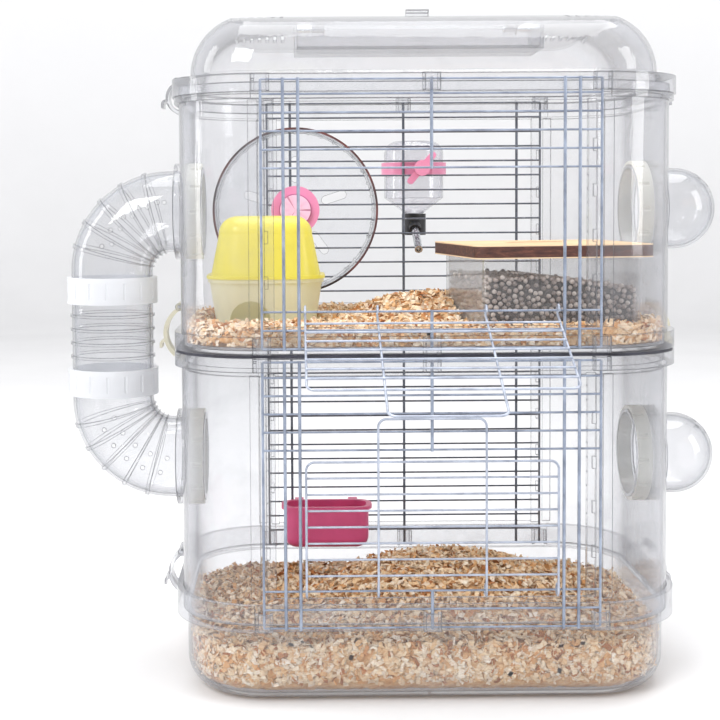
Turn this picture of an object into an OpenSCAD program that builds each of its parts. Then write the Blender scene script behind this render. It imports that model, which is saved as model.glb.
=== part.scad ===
// Two-storey hamster cage: clear moulded tiers with wire fronts and backs, a lidded top,
// an outside tube between the storeys, two lookout domes and the furniture inside.
// Millimetres, +Z up, front towards -Y. The origin is the middle of the tray's underside.

/* [Body] */
// Width of the clear body
body_w = 370; // [340:1:450]
// Depth of the clear body
body_d = 246; // [230:1:300]
// Plan radius of the body corners
corner_r = 62; // [54:1:70]
// Thickness of the clear walls
wall = 2.4; // [2:0.1:3]
// How far flanges and rims stand out from the body
flange = 5; // [4:0.5:7]
// Height of one tier moulding
tier_h = 196; // [180:1:240]
// Height of the side ports above the foot of a tier
port_rise = 103; // [90:1:125]
// Width of the front and back openings
opening_w = 226; // [180:1:230]

/* [Tray] */
// Height of the tray to the top of its rim
tray_h = 77; // [60:1:95]
// Height of the tray's rim band
tray_rim = 20; // [16:1:26]
// Radius of the tray's lower edge
tray_round = 24; // [16:1:32]

/* [Lid] */
// Height of the lid above its rim
lid_rise = 53; // [48:1:60]
// Height of the lid's rim band
lid_rim = 13; // [10:1:16]
// Radius of the lid's crown from front to back
crown_r = 350; // [300:10:500]
// Length of the handle well
well_l = 190; // [170:1:200]
// Width of the handle well
well_w = 56; // [50:1:64]

/* [Seal] */
// Thickness of the seal between the tiers
seal_t = 2; // [1.5:0.1:3]

/* [Grilles] */
// Diameter of the horizontal wires
wire_d = 1.6; // [1.4:0.1:2]
// Diameter of the upright wires
post_d = 2.4; // [2:0.1:3]
// Pitch of the front wires above and below a door
front_pitch = 13.2; // [11:0.1:15]
// Pitch of the back wires
back_pitch = 12.75; // [11:0.05:15]
// Width of a door
door_w = 182; // [150:1:184]
// Height of a door
door_h = 95; // [70:1:96]
// Diameter of the door wires
door_wire_d = 1.8; // [1.6:0.1:2.2]
// Angle that the upper door hangs open
door_open = 116; // [90:1:120]

/* [Tube] */
// Outside diameter of the tube
tube_d = 65; // [55:0.5:68]
// Wall of the tube and domes
tube_wall = 2; // [1.6:0.1:2.6]
// Bend radius of the elbows at the middle of the tube
bend_r = 47.4; // [44:0.1:60]
// Height of the screw rings on the tube
ring_h = 21; // [16:1:26]
// Length of a dome's straight part
dome_l = 22; // [14:1:40]

/* [Wheel] */
// Outside diameter of the exercise wheel
wheel_d = 137; // [110:1:146]
// Width of the wheel from front to back
wheel_w = 46; // [36:1:50]
// Diameter of the wheel's axle
axle_d = 8; // [6:0.5:10]

/* [Hideout] */
// Width of the hideout
hide_w = 92; // [80:1:96]
// Depth of the hideout
hide_d = 82; // [70:1:88]
// Height of the hideout's base
hide_base_h = 45; // [36:1:50]
// Height of the hideout's roof
hide_roof_h = 49; // [40:1:56]

/* [Bath] */
// Width of the bath
bath_w = 124; // [100:1:126]
// Depth of the bath
bath_d = 116; // [90:1:118]
// Height of the bath
bath_h = 62; // [50:1:70]
// Thickness of the board on the bath
board_t = 10; // [6:1:12]

/* [Bottle] */
// Diameter of the drinking bottle
bottle_d = 54; // [46:1:60]
// Height of the bottle's body
bottle_h = 74; // [60:1:90]

/* [Dish] */
// Width of the food dish
dish_w = 80; // [60:1:90]
// Depth of the food dish
dish_d = 36; // [30:1:44]
// Height of the food dish
dish_h = 37; // [28:1:44]

/* [Hidden] */

$fn = 64;

// Clearances
gap = 0.3;          // between pieces that only pass each other
slip = 0.5;         // round pieces that drop into each other
run = 0.05;         // radial gap of a turning fit
weld = 0.4;         // how far crossed wires sink into each other

// Heights
floor_t = 3;                        // tray floor
rim_z = tray_h - tray_rim;          // underside of the tray's rim
lower_z = rim_z + 4;                // foot of the lower tier, on the tray's ledge
lower_top = lower_z + tier_h;
upper_z = lower_top + seal_t;       // foot of the upper tier
upper_top = upper_z + tier_h;
lid_z = upper_top - 7;              // underside of the lid's rim
lid_base = lid_z + lid_rim;         // where the lid's dome starts
lid_top = lid_base + lid_rise;
foot_h = 13;                        // band at the foot of the upper tier
head_h = 10.5;                      // band at the head of the lower tier
head_z = lower_top - head_h;         // underside of that band
brim_h = 4.5;                       // lip under the lid's rim
brim_out = 3.5;
brim_z = lid_z - gap - brim_h;
low_port_z = lower_z + port_rise;
up_port_z = upper_z + port_rise;

bed_top = 44;                       // surface of the bedding in the tray

// Plan
hw = body_w / 2;
hd = body_d / 2;
flat_w = body_w - 2 * corner_r;

// Grilles
notch_t = 2;                                               // band left in front of the body under a grille
grille_y = hd + notch_t + 0.2 + wire_d / 2;                // middle of the level wires
post_y = grille_y + (wire_d + post_d) / 2 - weld;          // middle of the front uprights
frame_d = 2;                                               // outer uprights of a grille
grille_x = flat_w / 2 - 1;                                 // where they stand
inner_x = door_w / 2 + 4.3;                                // uprights beside the doors
outer_x = inner_x + 10.8;
door_y = post_y + post_d / 2 + gap + door_wire_d / 2;      // plane of the closed doors
hook_r = door_y - grille_y;                                // middle radius of the hinge hooks
door_inner_x = door_w * 0.2143;                            // uprights within a door
loop_h = 31;                                               // latch loop above a door
up_hinge_z = upper_z + 31.2;
low_hinge_z = lower_z + 26;
door_gap_h = door_h + 8;                                   // opening that a door covers

// Floor of the upper tier
ledge = 5;                          // floor ledge inside the upper tier
ledge_t = 2.6;
upper_floor_z = upper_z + ledge_t;
upper_floor_t = 2.4;
deck_z = upper_floor_z + upper_floor_t;                    // top of the upper floor
bed_t = 11;                                                // depth of the upper bedding

// Feet and heads of the grilles
low_foot_z = rim_z + 3;
low_head_z = lower_top - 3;
up_foot_z = upper_z + 4.4;
up_head_z = lid_z + 8.5;

// Heights of a front grille's level wires, below and above its door
function front_levels(hinge, foot, head) = let(
    above = hinge + door_gap_h,
    n_low = round((hinge - foot) / front_pitch),
    n_high = floor((head - above) / front_pitch)
  ) concat([for (k = [0:n_low]) hinge - k * (hinge - foot) / n_low],
           [for (k = [0:n_high]) above + k * front_pitch],
           [head]);

// Heights of a back grille's level wires
function back_levels(foot, head) = let(n = round((head - foot) / back_pitch))
  [for (k = [0:n]) foot + k * (head - foot) / n];

// Ports
tube_r = tube_d / 2;
neck_r = tube_r + 0.3;              // bore of a collar
collar_r = neck_r + 2.7;            // threaded neck of a collar
port_r = collar_r + 0.3;            // hole in the wall
rim_r = tube_r + 6;                 // outside of collars and nuts
collar_out = 8;                     // how far a collar stands out of the wall
nut_l = 11;
neck_in = wall + nut_l + 1;         // length of the neck from the wall's face inwards
dome_in = wall - 3 * gap;           // the same for a lookout dome, whose neck stops short of the nut
bend_x = hw + collar_out + 4.6;     // centre of the elbows' curve, from the middle
tube_x = bend_x + bend_r;           // axis of the upright tube
stub = 15;                          // straight end of an elbow
rib_h = 1.3;                        // height of the tube's raised rings
tube_top = up_port_z - bend_r - stub;
tube_foot = low_port_z + bend_r + stub;

// Latches
latch_w = 18;
latch_t = 3;
latch_pin_d = 2.4;
latch_x = hw + flange + 0.6;        // pivot, from the middle
ear_t = 3;
tooth_h = 3;
tooth_in = 4.5;                     // reach of the tooth inwards from the pivot
top_pivot_z = lid_base + 4;
mid_pivot_z = upper_z + foot_h + 14;
low_pivot_z = tray_h + 11;

// Handle
well_z = lid_base + 29;             // floor of the handle well
pivot_y = well_w / 2 - 12;
pivot_z = well_z + 18;
arm_x = well_l / 2 - 17;
grip_y = -well_w / 2 + 11;
handle_t = 5;
pin_r = 2;

// Wheel
wheel_x = -97;
wheel_z = up_port_z;
wheel_back = hd - 32;               // back face of the wheel
wheel_r = wheel_d / 2;
hub_r = 20.8;
axle_r = axle_d / 2;

// Hideout
hide_x = -121;
hide_y = -1;
hide_r = 26;
hide_wall = 2;
hide_lean = 7;                      // how far its walls lean in

// Bath
bath_x = 95;
bath_y = -27;
bath_turn = 9;
bath_r = 8;
bath_wall = 2;
board_over_x = 8;
board_over_y = 5;

// Bottle
bottle_x = 12;
bracket_t = 2.4;
bottle_r = bottle_d / 2;
bottle_y = post_y + post_d / 2 + 4 + bottle_r;
bottle_z = upper_z + 113;           // foot of the bottle's straight part
shoulder_h = 22;                    // neck and cone under it
bottle_neck_h = 7.9;
bottle_neck_r = 8.5;
band_h = 11;
up_levels = back_levels(up_foot_z, up_head_z);
toggle_z = (up_levels[10] + up_levels[11]) / 2;      // between two wires
cap_r = 11;

spout_tilt = 25.5;
spout_r = 3.5;
spout_cross = (up_levels[5] + up_levels[6]) / 2;     // where the spout goes between two wires
cap_z = spout_cross + 4;
spout_in = 18;                      // reach of the spout inside the wires
spout_end = 10;                     // how far short of the bottle's axis it stops

// Dish
dish_x = -71;
dish_r = 12;
hook_z = back_levels(low_foot_z, low_head_z)[3];     // wire that carries the dish
dish_z = hook_z + 3.2 - dish_h;

// Colours
clear = [0.86, 0.9, 0.93, 0.35];
steel = [0.62, 0.67, 0.78];
white = [0.93, 0.93, 0.9];
pink = [0.86, 0.42, 0.6];
cream = [0.96, 0.93, 0.82];

// ---------- helpers ----------

// Rounded rectangle in plan
module plate(w, d, r) {
  square([w - 2 * r, d], center = true);
  square([w, d - 2 * r], center = true);
  for (sx = [-1, 1], sy = [-1, 1])
    translate([sx * (w / 2 - r), sy * (d / 2 - r)]) circle(r);
}

// Upright band between two rounded rectangles, out and inw being offsets from the body's face
module band(z0, z1, out, inw) {
  translate([0, 0, z0]) linear_extrude(z1 - z0) difference() {
    plate(body_w + 2 * out, body_d + 2 * out, corner_r + out);
    plate(body_w - 2 * inw, body_d - 2 * inw, corner_r - inw);
  }
}

// Solid slab of the plan, grown by out
module slab(z0, z1, out) {
  translate([0, 0, z0]) linear_extrude(z1 - z0)
    plate(body_w + 2 * out, body_d + 2 * out, corner_r + out);
}

// Sweeps a profile (distance from the corner centres, height) round a rounded rectangle,
// and fills the middle between z0 and z1
module sweep_round(w, d, r, z0, z1) {
  ax = w / 2 - r;
  ay = d / 2 - r;
  for (k = [0:3]) {
    run_l = (k % 2 == 0) ? 2 * ay : 2 * ax;
    cx = (k == 0 || k == 3) ? ax : -ax;
    cy = (k == 0 || k == 1) ? ay : -ay;
    translate([cx, cy, 0]) rotate([0, 0, 90 * k]) {
      rotate_extrude(angle = 90) children();
      rotate([90, 0, 0]) linear_extrude(run_l) children();
    }
  }
  translate([-ax, -ay, z0]) cube([2 * ax, 2 * ay, z1 - z0]);
}

// Profile of a bowl with a rounded foot: radius rho at the wall, foot rounding f, from z0 to z1
module bowl_profile(rho, f, z0, z1) {
  translate([0, z0]) square([rho - f, z1 - z0]);
  translate([0, z0 + f]) square([rho, z1 - z0 - f]);
  translate([rho - f, z0 + f]) intersection() {
    circle(f);
    translate([0, -f]) square(f);
  }
}

// Profile of a dome: a wall that leans in by lean, then a shoulder of radius f, from z0 to z1
module dome_profile(rho, lean, f, z0, z1) {
  core = rho - lean - f;
  polygon([[0, z0], [rho, z0], [rho - lean, z1 - f], [0, z1 - f]]);
  translate([0, z1 - f]) square([core, f]);
  translate([core, z1 - f]) intersection() {
    circle(f);
    square(f);
  }
}

// Profile of a cup that widens by lean from z0 to z1
module cup_profile(rho, lean, z0, z1) {
  polygon([[0, z0], [rho - lean, z0], [rho, z1], [0, z1]]);
}

module wire_x(x0, x1, y, z, d) {
  translate([x0, y, z]) rotate([0, 90, 0]) cylinder(h = x1 - x0, d = d);
}

module wire_z(x, y, z0, z1, d) {
  translate([x, y, z0]) cylinder(h = z1 - z0, d = d);
}

module along_x(x0, x1, y, z, r) {
  translate([x0, y, z]) rotate([0, 90, 0]) cylinder(h = x1 - x0, r = r);
}

module along_y(x, y0, y1, z, r) {
  translate([x, y1, z]) rotate([90, 0, 0]) cylinder(h = y1 - y0, r = r);
}

// Box given by its two corners
module span(a, b) {
  translate(a) cube([b[0] - a[0], b[1] - a[1], b[2] - a[2]]);
}

// ---------- tray and tiers ----------

tray_in = 3;                        // how far the tray's wall stands inside the body's face
tray_bowl_r = corner_r - tray_in;

module tray_bowl(t, z0, z1) {
  sweep_round(body_w - 2 * tray_in, body_d - 2 * tray_in, tray_bowl_r, z0, z1)
    bowl_profile(tray_bowl_r - t, tray_round - t, z0, z1);
}

module base_tray() {
  color(clear) difference() {
    union() {
      tray_bowl(0, 0, rim_z + 3);
      slab(rim_z, tray_h, flange);
    }
    tray_bowl(wall, floor_t, tray_h + 1);
    slab(lower_z, tray_h + 1, slip);
    for (s = [-1, 1]) grille_notch(s, rim_z - 1, tray_h + 1);
  }
}

// Flat taken off the bands in front of a grille, on the side of Y given
module grille_notch(side, z0, z1) {
  y0 = hd + notch_t;
  y1 = hd + flange + 2;
  span([-grille_x - 7, side > 0 ? y0 : -y1, z0], [grille_x + 7, side > 0 ? y1 : -y0, z1]);
}

module tray_bedding() {
  bed_z = floor_t + 0.1;
  heap_z = bed_top + 24;
  heap_r = 230;
  color([0.9, 0.8, 0.66]) intersection() {
    union() {
      tray_bowl(wall + 0.6, bed_z, bed_top);
      translate([30, 40, heap_z - heap_r]) sphere(heap_r);
    }
    tray_bowl(wall + 0.6, bed_z, tray_h);
  }
}

// Ears for a latch pin on side s, as high as the pivot and rooted in the wall at x0
module latch_ears(s, z, x0) {
  for (e = [-1, 1]) difference() {
    union() {
      translate([s * latch_x, e * (latch_w / 2 + 0.4 + ear_t / 2) + ear_t / 2, z])
        rotate([90, 0, 0]) cylinder(h = ear_t, r = 3);
      span([min(s * x0, s * latch_x), e * (latch_w / 2 + 0.4 + ear_t / 2) - ear_t / 2, z - 3],
           [max(s * x0, s * latch_x), e * (latch_w / 2 + 0.4 + ear_t / 2) + ear_t / 2, z + 3]);
    }
    along_y(s * latch_x, -latch_w, latch_w, z, latch_pin_d / 2 + 0.02);
  }
}

// Upright bar beside an opening, with the small notches of the grille's seats
module jamb(sx, sy, z0, z1) {
  x0 = opening_w / 2;
  x1 = grille_x - 2;
  depth = 6;
  difference() {
    span([min(sx * x0, sx * x1), min(sy * (hd - depth), sy * (hd - 0.4)), z0],
         [max(sx * x0, sx * x1), max(sy * (hd - depth), sy * (hd - 0.4)), z1]);
    for (k = [1:4])
      translate([sx * x1, sy * (hd - depth), z0 + k * (z1 - z0) / 5])
        cube([5, 5, 9], center = true);
  }
}

// Upright guide that stands proud of the wall outside a grille
module guide(sx, sy, z0, z1) {
  x0 = grille_x + 2.2;
  x1 = x0 + 7;
  y0 = hd - 1;
  y1 = hd + 1.6;
  span([min(sx * x0, sx * x1), min(sy * y0, sy * y1), z0],
       [max(sx * x0, sx * x1), max(sy * y0, sy * y1), z1]);
}

module tier(z0) {
  z1 = z0 + tier_h;
  sill = z0 + 20;                     // foot of the openings
  head = z1 - 14;                     // head of the openings
  difference() {
    union() {
      band(z0, z1, 0, wall);
      band(z1 - 14, z1 - 8, 0, wall + 3);
      for (sx = [-1, 1], sy = [-1, 1]) {
        jamb(sx, sy, sill - 1, head + 1);
        guide(sx, sy, sill - 1, head + 1);
      }
    }
    for (sy = [-1, 1])
      span([-opening_w / 2, sy * hd - 8, sill], [opening_w / 2, sy * hd + 8, head]);
    along_x(-hw - 1, hw + 1, 0, z0 + port_rise, port_r);
  }
}

module lower_body() {
  color(clear) union() {
    tier(lower_z);
    difference() {
      band(head_z, lower_top, flange, wall / 2);
      for (s = [-1, 1]) grille_notch(s, head_z - 1, lower_top + 1);
    }
    for (s = [-1, 1]) latch_ears(s, low_pivot_z, hw - wall / 2);
  }
}

module upper_body() {
  color(clear) union() {
    tier(upper_z);
    difference() {
      band(upper_z, upper_z + foot_h, flange, wall / 2);
      for (s = [-1, 1]) grille_notch(s, upper_z - 1, upper_z + foot_h + 1);
    }
    band(upper_z, upper_floor_z, 0, wall + ledge);
    difference() {
      band(brim_z, brim_z + brim_h, brim_out, wall / 2);
      for (s = [-1, 1]) grille_notch(s, brim_z - 1, brim_z + brim_h + 1);
    }
    for (s = [-1, 1]) latch_ears(s, mid_pivot_z, hw - wall / 2);
  }
}

module upper_floor() {
  color(clear) difference() {
    slab(upper_floor_z, deck_z, -wall - slip);
    for (s = [-1, 1], k = [-4:4])
      translate([k * 20, s * (hd - 20), upper_floor_z - 1]) cylinder(h = 5, r = 1.5);
  }
}

module hide_plan(grow) {
  translate([hide_x, hide_y]) plate(hide_w + 2 * grow, hide_d + 2 * grow, hide_r + grow);
}

module bath_plan(grow) {
  translate([bath_x, bath_y]) rotate(bath_turn)
    plate(bath_w + 2 * grow, bath_d + 2 * grow, bath_r + grow);
}

module upper_bedding() {
  edge = wall + 1.5;
  color([0.92, 0.84, 0.68]) difference() {
    intersection() {
      union() {
        slab(deck_z + 0.1, deck_z + bed_t, -edge);
        translate([15, 30, deck_z + 28 - 160]) sphere(160);
      }
      slab(deck_z + 0.1, deck_z + 40, -edge);
    }
    translate([0, 0, deck_z - 1]) linear_extrude(60) hide_plan(1.2);
    translate([0, 0, deck_z - 1]) linear_extrude(60) bath_plan(1.2);
    translate([wheel_x, wheel_back + 2, wheel_z]) rotate([90, 0, 0])
      cylinder(h = wheel_w + 8, r = wheel_r + 2);
    for (sx = [-1, 1], sy = [-1, 1])
      span([sx * (opening_w / 2 + 5) - 8, sy * hd - 8, deck_z - 1],
           [sx * (opening_w / 2 + 5) + 8, sy * hd + 8, deck_z + 41]);
  }
}

module tier_gasket() {
  color([0.13, 0.13, 0.15]) difference() {
    band(lower_top, upper_z, flange - 1.2, wall + 2);
    for (s = [-1, 1]) grille_notch(s, lower_top - 1, upper_z + 1);
  }
}

// ---------- lid ----------

lid_in = 7;                         // how far the dome stands inside the rim
lid_lean = 2;                       // how far its wall leans in
lid_shoulder = 46;                  // radius of its shoulder
lid_knee = lid_top - 4 - lid_shoulder;       // where the shoulder starts
side_crown_r = 1500;                // radius of the crown from left to right

module lid_dome(t) {
  r = corner_r - lid_in;
  intersection() {
    sweep_round(body_w - 2 * lid_in, body_d - 2 * lid_in, r, lid_z - 1, lid_top + 1 - t)
      lid_profile(r, t);
    translate([-body_w, 0, lid_top - crown_r]) rotate([0, 90, 0])
      cylinder(h = 2 * body_w, r = crown_r - t, $fn = 200);
    translate([0, body_d, lid_top - side_crown_r]) rotate([90, 0, 0])
      cylinder(h = 2 * body_d, r = side_crown_r - t, $fn = 400);
  }
}

// Leaning wall, then a round shoulder
module lid_profile(r, t) {
  foot = lid_base - lid_z + 1;
  knee = lid_knee - lid_z + 1;
  core = r - lid_lean - lid_shoulder;
  translate([0, lid_z - 1]) {
    polygon([[0, 0], [r - t, 0], [r - t, foot], [r - t - lid_lean, knee], [0, knee]]);
    translate([0, knee]) square([core, lid_shoulder - t]);
    translate([core, knee]) intersection() {
      circle(lid_shoulder - t);
      square(lid_shoulder);
    }
  }
}

module top_lid() {
  color(clear) difference() {
    union() {
      difference() {
        union() {
          slab(lid_z, lid_base, flange);
          lid_dome(0);
        }
        slab(lid_z - 2, upper_top + gap, slip);
        lid_dome(wall);
      }
      intersection() {
        lid_dome(0);
        span([-well_l / 2 - wall, -well_w / 2 - wall, well_z - wall],
             [well_l / 2 + wall, well_w / 2 + wall, lid_top + 1]);
      }
      for (s = [-1, 1]) latch_ears(s, top_pivot_z, hw - lid_in - wall - 1);
    }
    span([-well_l / 2, -well_w / 2, well_z], [well_l / 2, well_w / 2, lid_top + 10]);
    for (s = [-1, 1]) grille_notch(s, lid_z - 1, lid_base + 1);
    for (s = [-1, 1], row = [0, 1], k = [0:6])
      translate([s * (108 + 6.5 * k), (row == 0 ? -1 : 1) * 62 - 9, lid_top - 30]) cube([2.4, 18, 40]);
  }
}

// Grip bar with two arms, lying in the well, turning on the two pins
module carry_handle() {
  color(clear) difference() {
    union() {
      span([-arm_x - 5, grip_y - 8, pivot_z], [arm_x + 5, grip_y + 8, pivot_z + handle_t]);
      for (s = [-1, 1]) {
        span([s * arm_x - 5, grip_y, pivot_z], [s * arm_x + 5, pivot_y, pivot_z + handle_t]);
        along_x(s * arm_x - 5, s * arm_x + 5, pivot_y, pivot_z, handle_t);
      }
    }
    translate([0, grip_y - 25, pivot_z - 1]) cylinder(h = handle_t + 2, r = 24);
    for (s = [-1, 1]) along_x(s * arm_x - 6, s * arm_x + 6, pivot_y, pivot_z, pin_r + run);
  }
}

module handle_pins() {
  color(white) for (s = [-1, 1]) {
    along_x(min(s * (arm_x - 6), s * (well_l / 2)), max(s * (arm_x - 6), s * (well_l / 2)),
            pivot_y, pivot_z, pin_r);
  }
}

module handle_tab() {
  z0 = pivot_z + handle_t;
  color(clear) union() {
    span([-9, grip_y + 4, z0], [9, grip_y + 7.5, lid_top + 6]);
    span([-9, grip_y + 1, lid_top + 3.4], [9, grip_y + 7.5, lid_top + 6]);
  }
}

// ---------- wire work ----------

// Wires of a front grille, with uprights beside the door and a short one above and below it
module front_grille(hinge, foot, head) {
  color(steel) union() {
    for (z = front_levels(hinge, foot, head)) wire_x(-grille_x, grille_x, -grille_y, z, wire_d);
    for (s = [-1, 1]) {
      wire_z(s * grille_x, -grille_y, foot, head, frame_d);
      for (x = [inner_x, outer_x]) wire_z(s * x, -post_y, foot - 1, head + 1, post_d);
    }
    wire_z(0, -post_y, foot - 1, hinge + 1, post_d);
    wire_z(0, -post_y, hinge + door_gap_h - 1, head + 1, post_d);
  }
}

module upper_front_grille() {
  front_grille(up_hinge_z, up_foot_z, up_head_z);
}

module lower_front_grille() {
  front_grille(low_hinge_z, low_foot_z, low_head_z);
}

module back_grille(foot, head) {
  color(steel) union() {
    for (z = back_levels(foot, head)) wire_x(-grille_x, grille_x, grille_y, z, wire_d);
    for (s = [-1, 1]) wire_z(s * grille_x, grille_y, foot, head, frame_d);
    for (x = [-inner_x - 6, 0, inner_x + 6]) wire_z(x, post_y, foot - 1, head + 1, post_d);
  }
}

module upper_back_grille() {
  back_grille(up_foot_z, up_head_z);
}

module lower_back_grille() {
  back_grille(low_foot_z, low_head_z);
}

// A door in its own frame: hinge axis along X at the origin, closed upright in the plane -hook_r
module door_wires() {
  r = door_wire_d / 2;
  bend = 6;
  n = 8;
  for (s = [-1, 1]) {
    wire_z(s * door_w / 2, -hook_r, 0, door_h - bend, door_wire_d);
    translate([s * (door_w / 2 - bend), -hook_r, door_h - bend]) rotate([90, s > 0 ? 0 : -90, 0])
      rotate_extrude(angle = 90) translate([bend, 0]) circle(r);
    wire_z(s * door_inner_x, -hook_r, 0, door_h + loop_h - bend, door_wire_d);
    translate([s * (door_inner_x - bend), -hook_r, door_h + loop_h - bend])
      rotate([90, s > 0 ? 0 : -90, 0])
        rotate_extrude(angle = 90) translate([bend, 0]) circle(r);
    for (x = [door_w / 2, door_inner_x]) translate([s * x, 0, 0]) rotate([0, 90, 0])
      rotate([0, 0, -90]) hook();
  }
  wire_x(-door_w / 2 + bend, door_w / 2 - bend, -hook_r, door_h, door_wire_d);
  wire_x(-door_inner_x + bend, door_inner_x - bend, -hook_r, door_h + loop_h, door_wire_d);
  for (k = [1:n - 1])
    wire_x(-door_w / 2, door_w / 2, -hook_r + door_wire_d / 2 + wire_d / 2 - weld,
           k * door_h / n, wire_d);
}

// Open ring round the hinge wire, from the door's plane under the wire and up behind it
module hook() {
  rotate_extrude(angle = 250) translate([hook_r, 0]) circle(door_wire_d / 2);
}

module lower_door() {
  color(steel) translate([0, -grille_y, low_hinge_z]) door_wires();
}

module upper_door() {
  color(steel) translate([0, -grille_y, up_hinge_z]) rotate([door_open, 0, 0]) door_wires();
}

// Square clip that holds an upright of a grille to a band, cut clear of the level wires zs
module clip(x, side, z, h, zs) {
  t = 2;
  foot = hd + notch_t;
  roof = post_y + post_d / 2 + gap;
  mirror([0, side > 0 ? 0 : 1, 0]) difference() {
    span([x - 6.5, foot, z], [x + 6.5, roof + t, z + h]);
    span([x - 4.3, foot - 1, z - 1], [x + 4.3, roof, z + h + 1]);
    for (w = zs) wire_x(x - 8, x + 8, grille_y, w, wire_d + 0.5);
  }
}

module clips(side, low_zs, up_zs) {
  h = 10;
  color(clear) for (x = [-grille_x, 0, grille_x]) {
    clip(x, side, rim_z + 1, 13, low_zs);
    clip(x, side, head_z + 0.3, h, low_zs);
    clip(x, side, upper_z + 0.6, foot_h - 1, up_zs);
    clip(x, side, lid_z + 0.3, lid_rim - 0.6, up_zs);
  }
}

module front_clips() {
  clips(-1, front_levels(low_hinge_z, low_foot_z, low_head_z),
        front_levels(up_hinge_z, up_foot_z, up_head_z));
}

module back_clips() {
  clips(1, back_levels(low_foot_z, low_head_z), back_levels(up_foot_z, up_head_z));
}

// ---------- latches ----------

// Side view of a lever: pivot eye at the origin, bowed strap down to a tooth under the catch
module lever_outline(h, bow) {
  big = (h * h / 4 + bow * bow) / (2 * bow);
  cx = bow - big;
  cz = -h / 2;
  tail_r = 3.6;
  tail_z = -h * 0.7;
  tail_x = cx + sqrt(big * big - pow(tail_z - cz, 2)) - latch_t / 2;
  difference() {
    union() {
      circle(3);
      intersection() {
        translate([cx, cz]) difference() {
          circle(big);
          circle(big - latch_t);
        }
        translate([-1, -h]) square([bow + 2, h]);
      }
      translate([-tooth_in, -h]) square([tooth_in + 1.2, tooth_h]);
      translate([tail_x + tail_r - 1, tail_z]) intersection() {
        difference() {
          circle(tail_r);
          circle(tail_r - 2);
        }
        translate([-tail_r, 0]) square([2 * tail_r, tail_r]);
      }
      translate([tail_x + 2 * tail_r - 3, tail_z - 3]) square([2, 3]);
    }
    circle(latch_pin_d / 2 + run);
  }
}

module latch(s, pivot, catch, bow) {
  h = pivot - catch + gap + tooth_h;
  translate([s * latch_x, 0, pivot]) mirror([s < 0 ? 1 : 0, 0, 0]) rotate([90, 0, 0])
    translate([0, 0, -latch_w / 2]) linear_extrude(latch_w) lever_outline(h, bow);
}

module latch_upper_left() { color(clear) latch(-1, top_pivot_z, brim_z, 9); }
module latch_upper_right() { color(clear) latch(1, top_pivot_z, brim_z, 9); }
module latch_middle_left() { color(cream) latch(-1, mid_pivot_z, head_z, 13); }
module latch_middle_right() { color(cream) latch(1, mid_pivot_z, head_z, 13); }
module latch_lower_left() { color(clear) latch(-1, low_pivot_z, rim_z, 11); }
module latch_lower_right() { color(clear) latch(1, low_pivot_z, rim_z, 11); }

module latch_pins() {
  reach = latch_w / 2 + 0.4 + ear_t;
  color(white) for (s = [-1, 1], z = [top_pivot_z, mid_pivot_z, low_pivot_z])
    along_y(s * latch_x, -reach, reach, z, latch_pin_d / 2);
}

// ---------- ports, tube and domes ----------

// Neck through the wall with its outer flange, on side s at height z
module collar(s, z) {
  translate([s * hw, 0, z]) rotate([0, s * 90, 0]) difference() {
    union() {
      cylinder(h = collar_out, r = rim_r);
      translate([0, 0, -neck_in]) cylinder(h = neck_in + 1, r = collar_r);
    }
    translate([0, 0, -neck_in - 1]) cylinder(h = neck_in + collar_out + 2, r = neck_r);
  }
}

module port_collars() {
  color(clear) for (s = [-1, 1], z = [low_port_z, up_port_z]) collar(s, z);
}

// Ring nut on a collar's neck inside the wall
module port_nut(s, z) {
  grips = 12;
  color(white) translate([s * (hw - wall), 0, z]) rotate([0, -s * 90, 0]) difference() {
    cylinder(h = nut_l, r = rim_r);
    translate([0, 0, -1]) cylinder(h = nut_l + 2, r = collar_r + 0.2);
    for (k = [0:grips - 1]) rotate(k * 360 / grips) translate([rim_r + 0.8, 0, 3])
      cylinder(h = nut_l, r = 2);
  }
}

module port_nut_upper_left() { port_nut(-1, up_port_z); }
module port_nut_upper_right() { port_nut(1, up_port_z); }
module port_nut_lower_left() { port_nut(-1, low_port_z); }
module port_nut_lower_right() { port_nut(1, low_port_z); }

// A bend is drawn flat, with its upright end along -Y, then stood up
module upper_elbow() {
  color(clear) translate([-bend_x, 0, up_port_z - bend_r]) mirror([1, 0, 0])
    rotate([90, 0, 0]) ribbed_bend();
}

module lower_elbow() {
  color(clear) translate([-bend_x, 0, low_port_z + bend_r]) mirror([1, 0, 0]) mirror([0, 0, 1])
    rotate([90, 0, 0]) ribbed_bend();
}

// Clear bend with raised rings and air holes on both sides
module ribbed_bend() {
  difference() {
    union() {
      bend_tube(tube_r, 0);
      for (k = [1:5]) rotate(k * 15 - 1.1) rotate_extrude(angle = 2.2)
        translate([bend_r, 0]) circle(tube_r + rib_h);
    }
    bend_tube(tube_r - tube_wall, 0.5);
    for (k = [0:4], s = [-1, 1]) rotate(k * 15 + 22) translate([bend_r + 8, 0, 0])
      mirror([0, 0, s > 0 ? 0 : 1]) translate([0, 0, tube_r - 10]) cylinder(h = 14, r = 1.6);
  }
}

// Solid of a bend: quarter ring, an upright end of length stub and a level end to the port
module bend_tube(r, over) {
  level = bend_x - hw + neck_in;
  rotate_extrude(angle = 90) translate([bend_r, 0]) circle(r);
  translate([bend_r, 0, 0]) rotate([90, 0, 0]) cylinder(h = stub + over, r = r);
  translate([0, bend_r, 0]) rotate([0, -90, 0]) cylinder(h = level + over, r = r);
}

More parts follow.
